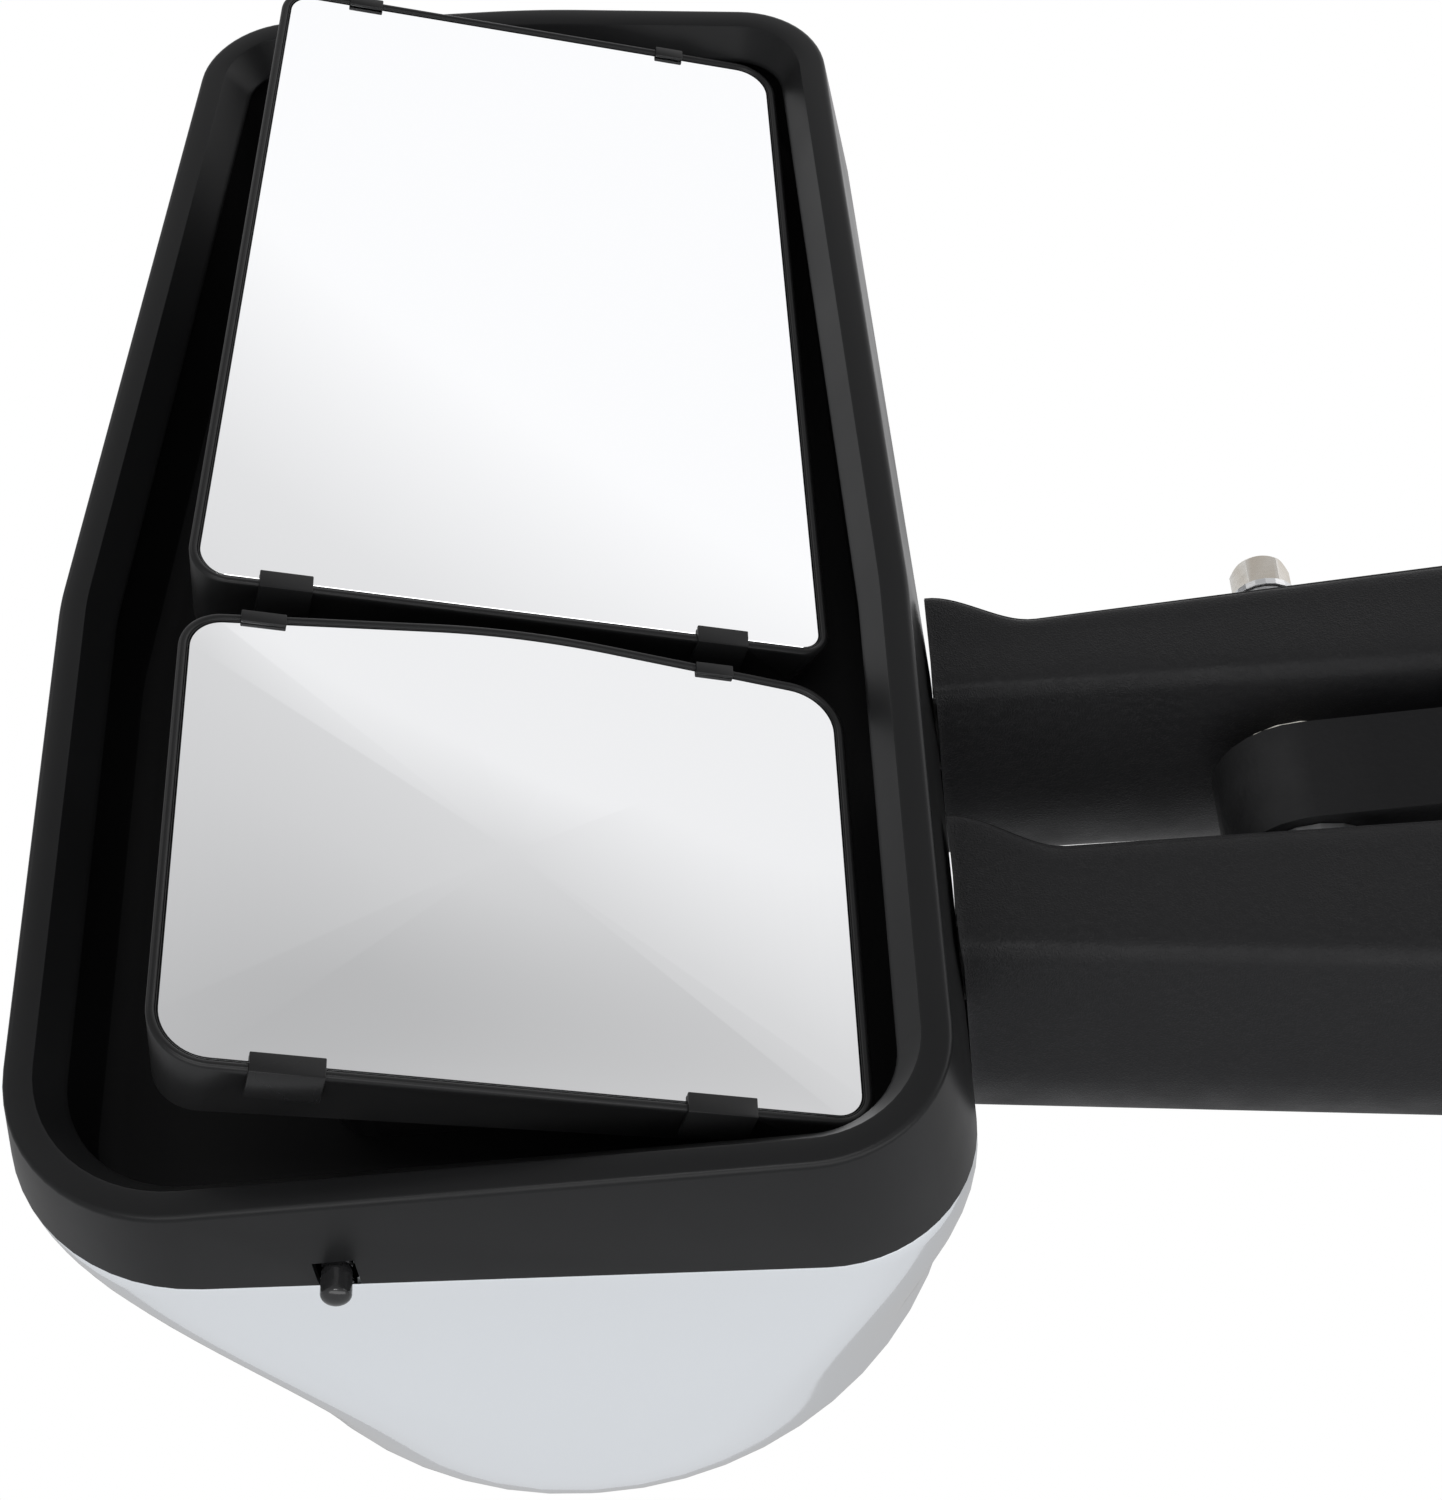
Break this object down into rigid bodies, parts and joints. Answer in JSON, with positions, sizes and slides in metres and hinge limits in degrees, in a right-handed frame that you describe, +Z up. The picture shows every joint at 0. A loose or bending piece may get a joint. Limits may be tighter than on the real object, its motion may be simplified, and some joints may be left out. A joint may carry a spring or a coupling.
{
  "type": "door mirror",
  "caption": "Tall heavy-vehicle door mirror: flat upper and convex lower glass that pan and tilt, chromed cover, folding double arm and door bracket.",
  "frame": {"origin": "centre of the gasket face that meets the door", "axes": "+X out of that face, towards the door; +Z up; the glasses face -Y, to the rear of the vehicle"},
  "size_m": [0.5681, 0.2825, 0.5954],
  "materials": {
    "black_plastic": "satin moulded black, fine texture",
    "grained_plastic": "leather-grained moulded black",
    "chrome": "bright plating on a moulded cover",
    "mirror_glass": "silvered glass",
    "heater_foil": "printed film",
    "steel": "plain steel",
    "zinc": "zinc plated",
    "nickel": "nickel plated, warm",
    "cast_metal": "black coated casting",
    "gasket_rubber": "dull rubber",
    "nylon": "natural nylon"
  },
  "bodies": {
    "door_mount": {"door_gasket": "gasket_rubber", "door_bracket": "cast_metal", "door_stud_1": "zinc", "door_stud_2": "zinc", "door_stud_3": "zinc", "door_stud_4": "zinc", "thrust_washer": "nylon", "detent_plate": "steel"},
    "head": {"bezel": "black_plastic", "rear_cover": "chrome", "inner_housing": "black_plastic", "head_frame": "steel", "upper_tube_clamp": "steel", "lower_tube_clamp": "steel", "upper_clamp_screw_a": "zinc", "upper_clamp_screw_b": "zinc", "lower_clamp_screw_a": "zinc", "lower_clamp_screw_b": "zinc", "housing_screw_a": "zinc", "housing_screw_b": "zinc", "temperature_sensor": "black_plastic", "sensor_clip": "zinc", "upper_beam_cover": "grained_plastic", "lower_beam_cover": "grained_plastic", "upper_arm_tube": "steel", "lower_arm_tube": "steel", "upper_pivot_eye": "steel", "lower_pivot_eye": "steel", "pivot_bolt": "nickel", "pivot_nut": "zinc", "pivot_washer": "zinc", "pivot_bush": "black_plastic", "spring_washer_1": "steel", "spring_washer_2": "steel", "spring_washer_3": "steel", "upper_drive_base": "black_plastic", "upper_pan_motor": "zinc", "upper_tilt_motor": "zinc", "lower_drive_base": "black_plastic", "lower_pan_motor": "zinc", "lower_tilt_motor": "zinc"},
    "upper_pan": {"upper_cross": "steel"},
    "upper_tilt": {"upper_holder": "black_plastic", "upper_heater_pad": "heater_foil", "upper_glass": "mirror_glass"},
    "upper_pan_drive": {"upper_pan_plunger": "nylon"},
    "upper_tilt_drive": {"upper_tilt_plunger": "nylon"},
    "upper_pan_gear": {"upper_pan_gear": "nylon"},
    "upper_tilt_gear": {"upper_tilt_gear": "nylon"},
    "lower_pan": {"lower_cross": "steel"},
    "lower_tilt": {"lower_holder": "black_plastic", "lower_heater_pad": "heater_foil", "lower_glass": "mirror_glass"},
    "lower_pan_drive": {"lower_pan_plunger": "nylon"},
    "lower_tilt_drive": {"lower_tilt_plunger": "nylon"},
    "lower_pan_gear": {"lower_pan_gear": "nylon"},
    "lower_tilt_gear": {"lower_tilt_gear": "nylon"}
  },
  "joints": [
    {"name": "arm_fold", "type": "hinge", "parent": "door_mount", "child": "head", "pos_m": [-0.1213, 0, 0], "axis": [0, 0, 1], "range_deg": [-50, 70]},
    {"name": "upper_pan", "type": "hinge", "parent": "head", "child": "upper_pan", "pos_m": [-0.3963, -0.061, 0.20525], "axis": [0, 0, 1], "range_deg": [-19.5, 0.5]},
    {"name": "upper_tilt", "type": "hinge", "parent": "upper_pan", "child": "upper_tilt", "pos_m": [-0.3963, -0.061, 0.20525], "axis": [0.9426, 0.3338, 0], "range_deg": [-8, 2.5]},
    {"name": "upper_pan_drive", "type": "slide", "parent": "head", "child": "upper_pan_drive", "axis": [-0.1736, 0.9848, 0], "range_m": [-0.01425, 0.0004]},
    {"name": "upper_tilt_drive", "type": "slide", "parent": "head", "child": "upper_tilt_drive", "axis": [-0.1736, 0.9848, 0], "range_m": [-0.00185, 0.00588]},
    {"name": "upper_pan_gear_spin", "type": "hinge", "parent": "head", "child": "upper_pan_gear", "pos_m": [-0.35494, -0.05371, 0.20525], "axis": [-0.1736, 0.9848, 0], "range_deg": [-1640, 44]},
    {"name": "upper_tilt_gear_spin", "type": "hinge", "parent": "head", "child": "upper_tilt_gear", "pos_m": [-0.3963, -0.061, 0.24725], "axis": [-0.1736, 0.9848, 0], "range_deg": [-674, 212]},
    {"name": "lower_pan", "type": "hinge", "parent": "head", "child": "lower_pan", "pos_m": [-0.3963, -0.061, -0.04675], "axis": [0, 0, 1], "range_deg": [-19.5, 0.5]},
    {"name": "lower_tilt", "type": "hinge", "parent": "lower_pan", "child": "lower_tilt", "pos_m": [-0.3963, -0.061, -0.04675], "axis": [0.9426, 0.3338, 0], "range_deg": [-8, 7]},
    {"name": "lower_pan_drive", "type": "slide", "parent": "head", "child": "lower_pan_drive", "axis": [-0.1736, 0.9848, 0], "range_m": [-0.01425, 0.0004]},
    {"name": "lower_tilt_drive", "type": "slide", "parent": "head", "child": "lower_tilt_drive", "axis": [-0.1736, 0.9848, 0], "range_m": [-0.00515, 0.00588]},
    {"name": "lower_pan_gear_spin", "type": "hinge", "parent": "head", "child": "lower_pan_gear", "pos_m": [-0.35494, -0.05371, -0.04675], "axis": [-0.1736, 0.9848, 0], "range_deg": [-1640, 44]},
    {"name": "lower_tilt_gear_spin", "type": "hinge", "parent": "head", "child": "lower_tilt_gear", "pos_m": [-0.3963, -0.061, -0.00475], "axis": [-0.1736, 0.9848, 0], "range_deg": [-674, 590]}
  ],
  "couplings": [
    {"joint": "upper_pan_drive", "follows": "upper_pan", "m_per_rad": 0.0418},
    {"joint": "upper_tilt_drive", "follows": "upper_tilt", "m_per_rad": -0.0419},
    {"joint": "upper_pan_gear_spin", "follows": "upper_pan", "ratio": 84},
    {"joint": "upper_tilt_gear_spin", "follows": "upper_tilt", "ratio": 84},
    {"joint": "lower_pan_drive", "follows": "lower_pan", "m_per_rad": 0.0418},
    {"joint": "lower_tilt_drive", "follows": "lower_tilt", "m_per_rad": -0.0419},
    {"joint": "lower_pan_gear_spin", "follows": "lower_pan", "ratio": 84},
    {"joint": "lower_tilt_gear_spin", "follows": "lower_tilt", "ratio": 84}
  ]
}
